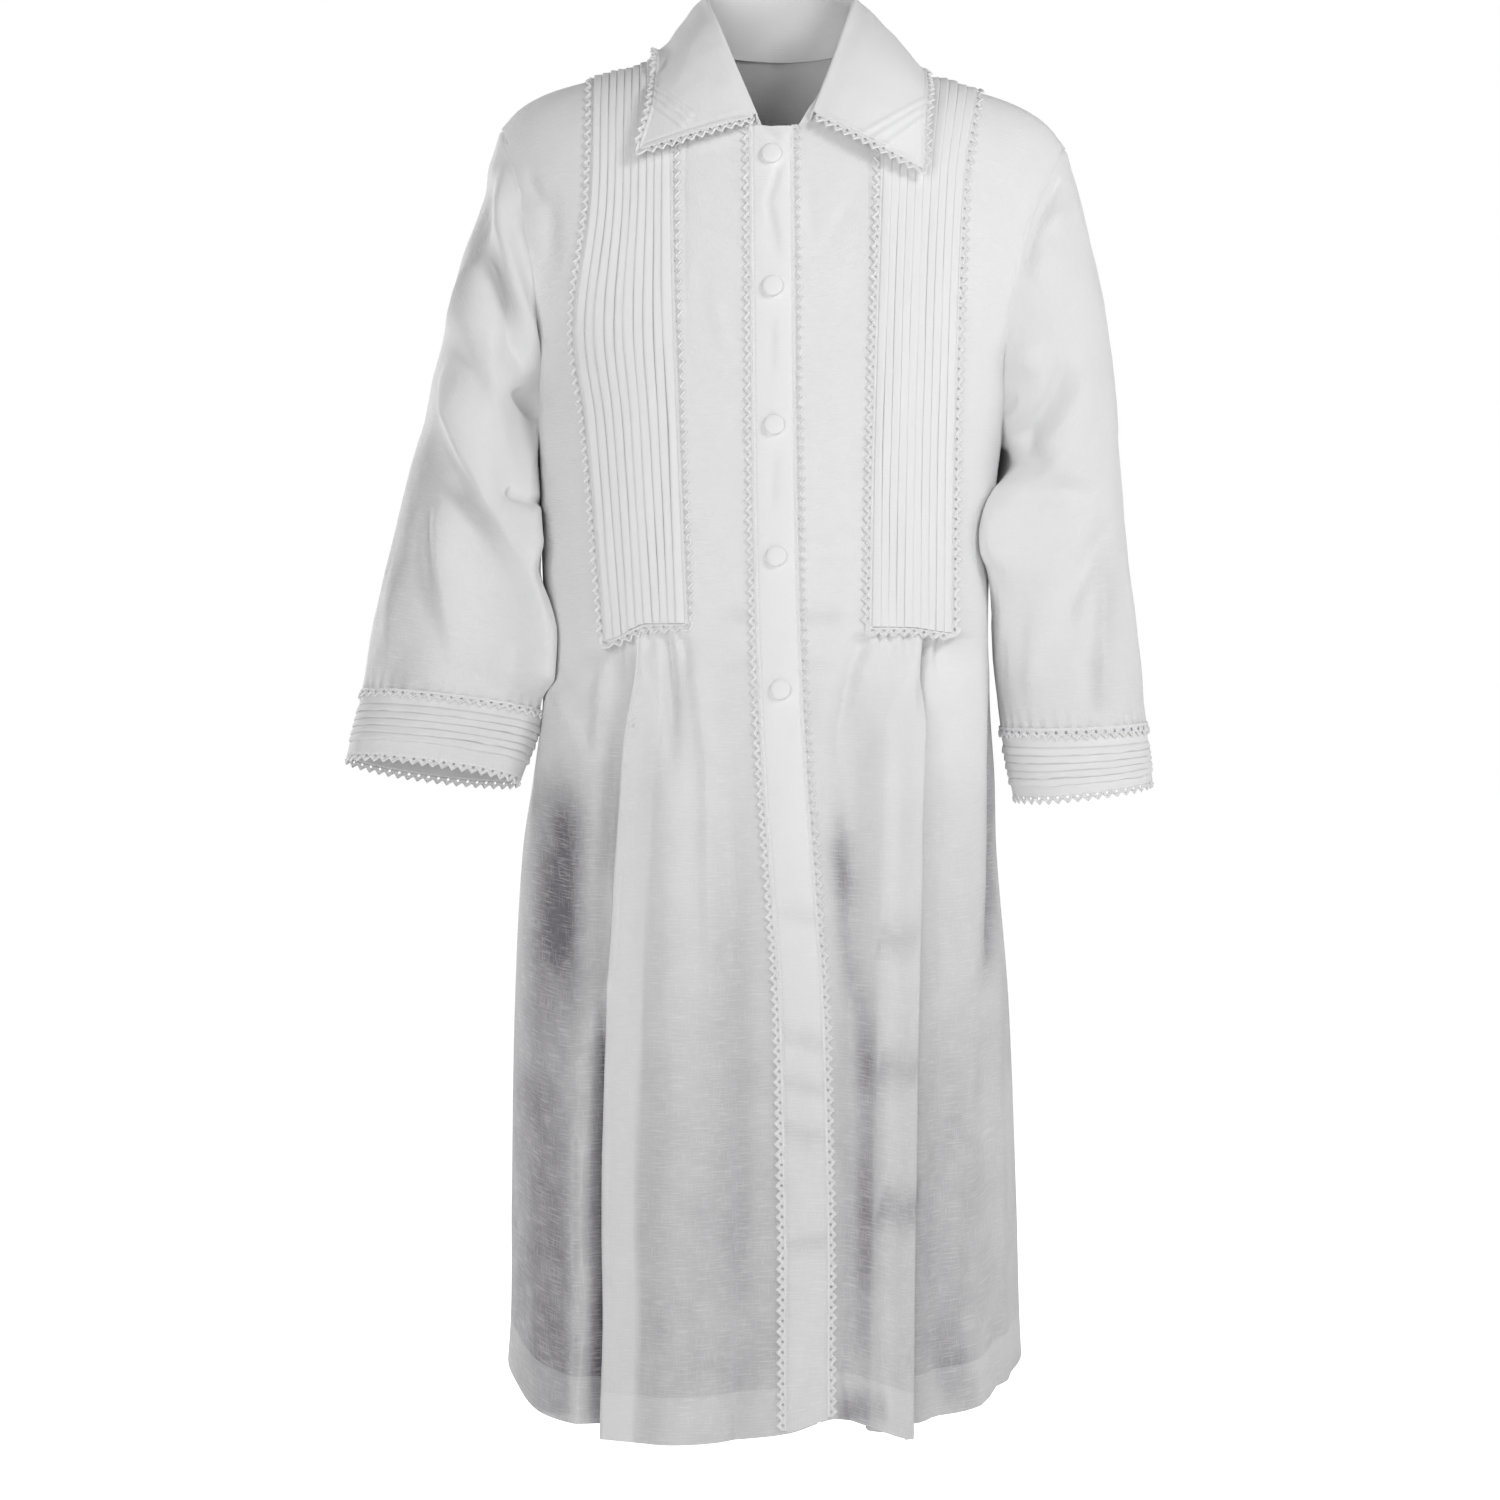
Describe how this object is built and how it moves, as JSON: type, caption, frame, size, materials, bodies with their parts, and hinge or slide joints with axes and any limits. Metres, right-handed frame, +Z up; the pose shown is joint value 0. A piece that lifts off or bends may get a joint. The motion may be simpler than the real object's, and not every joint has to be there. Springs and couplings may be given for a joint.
{
  "type": "kittel",
  "caption": "Long white linen robe with wide sleeves, pointed collar, buttoned placket, tucked bands on the chest, lace edging and deep pleats, held in its worn shape.",
  "frame": {"origin": "middle of the wearer's neck at the height of the shoulder seams, where the robe hangs from the wearer", "axes": "+Z up along the body, -Y to the front, +X towards the wearer's left arm"},
  "size_m": [0.7354, 0.3776, 1.3093],
  "materials": {
    "cloth": "matte single layer of sheer linen with uneven threads",
    "double_cloth": "matte linen in two or more layers",
    "tucked_cloth": "matte linen pressed in narrow tucks",
    "collar_cloth": "matte stiffened linen",
    "lace": "matte cotton crochet lace",
    "buttons": "matte linen drawn over a domed button"
  },
  "bodies": {
    "root": {"front_right": "cloth", "sleeve_right": "cloth", "cuff_right": "double_cloth", "tuck_band_right": "tucked_cloth", "lace_band_right": "lace", "lace_placket_right": "lace", "lace_cuff_right": "lace", "lace_insert_right": "lace", "front_left": "cloth", "sleeve_left": "cloth", "cuff_left": "double_cloth", "tuck_band_left": "tucked_cloth", "lace_band_left": "lace", "lace_placket_left": "lace", "lace_cuff_left": "lace", "lace_insert_left": "lace", "back": "cloth", "placket": "double_cloth", "collar": "collar_cloth", "collar_stand": "collar_cloth", "lace_collar": "lace", "button_1": "buttons", "button_2": "buttons", "button_3": "buttons", "button_4": "buttons", "button_5": "buttons"}
  },
  "joints": []
}
